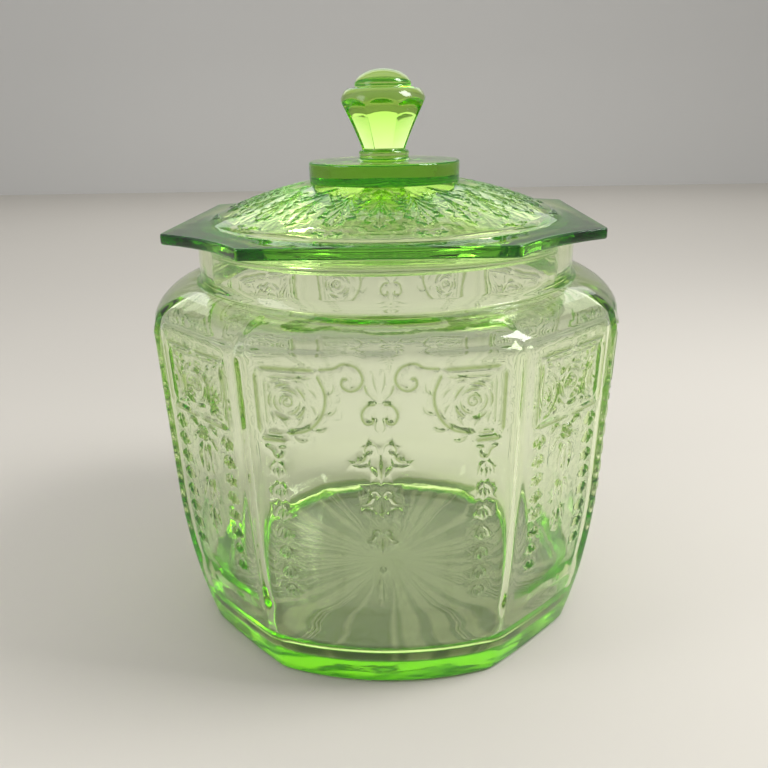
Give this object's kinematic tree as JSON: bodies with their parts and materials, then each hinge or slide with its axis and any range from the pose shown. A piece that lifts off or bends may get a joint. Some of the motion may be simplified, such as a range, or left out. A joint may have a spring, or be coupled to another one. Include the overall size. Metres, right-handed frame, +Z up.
{
  "type": "glass storage jar with lid",
  "caption": "Green pressed-glass storage jar with panelled, relief-decorated sides, a round neck and a domed knob lid that lifts straight off.",
  "frame": {"origin": "on the resting plane, under the middle of the foot", "axes": "+Z up along the jar's axis through the knob; a wide panel faces -Y, +X to the right of it"},
  "size_m": [0.16, 0.16, 0.19],
  "materials": {
    "green_glass_body": "clear pale green pressed glass, fire-polished, with fine raised relief; thick edges look dark green",
    "green_glass_lid": "clear green pressed glass, fire-polished, with fine raised leaf relief; the thick rim looks dark green"
  },
  "bodies": {
    "jar": {"jar": "green_glass_body"},
    "lid": {"lid": "green_glass_lid"}
  },
  "joints": [
    {"name": "lid_lift", "type": "slide", "parent": "jar", "child": "lid", "axis": [0, 0, 1], "range_m": [0, 0.15]}
  ]
}
